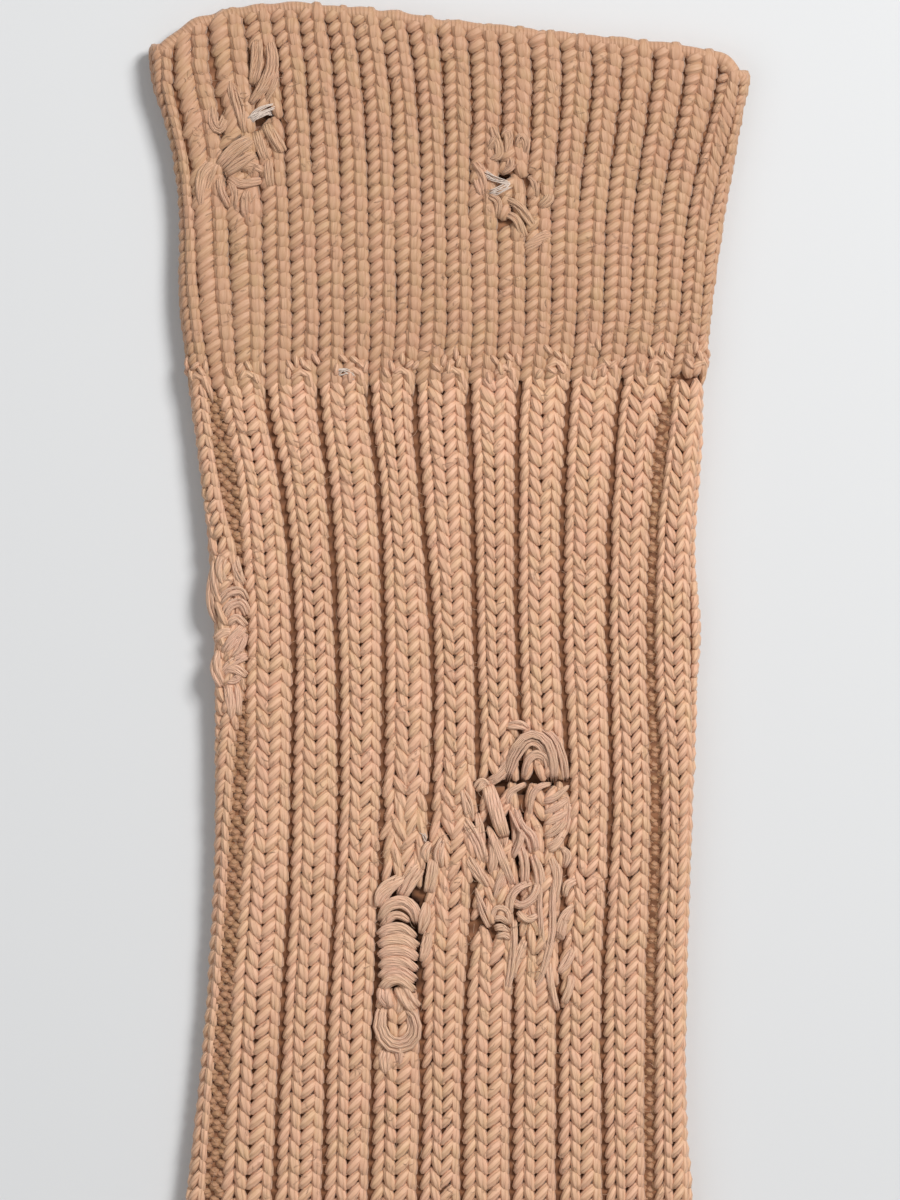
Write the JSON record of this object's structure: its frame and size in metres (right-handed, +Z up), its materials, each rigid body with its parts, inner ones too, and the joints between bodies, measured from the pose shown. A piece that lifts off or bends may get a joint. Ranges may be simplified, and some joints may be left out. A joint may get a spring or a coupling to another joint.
{
  "type": "holey sock",
  "caption": "Worn, ribbed knit sock laid flat, with a wide cuff, a long leg and worn-through holes crossed by loose strands.",
  "frame": {"origin": "middle of the underside of the sock's box, on the surface it lies on", "axes": "+Y from the toe end towards the cuff, +Z up out of the surface, +X to the right of the upper panel"},
  "size_m": [0.2278, 0.3732, 0.0066],
  "materials": {
    "rib_yarn": "soft mercerised cotton, ribbed",
    "plain_yarn": "soft mercerised cotton, plain knit"
  },
  "bodies": {
    "root": {"cuff": "rib_yarn", "leg": "rib_yarn", "instep": "rib_yarn", "heel": "plain_yarn", "sole": "plain_yarn", "toe": "plain_yarn"}
  },
  "joints": []
}
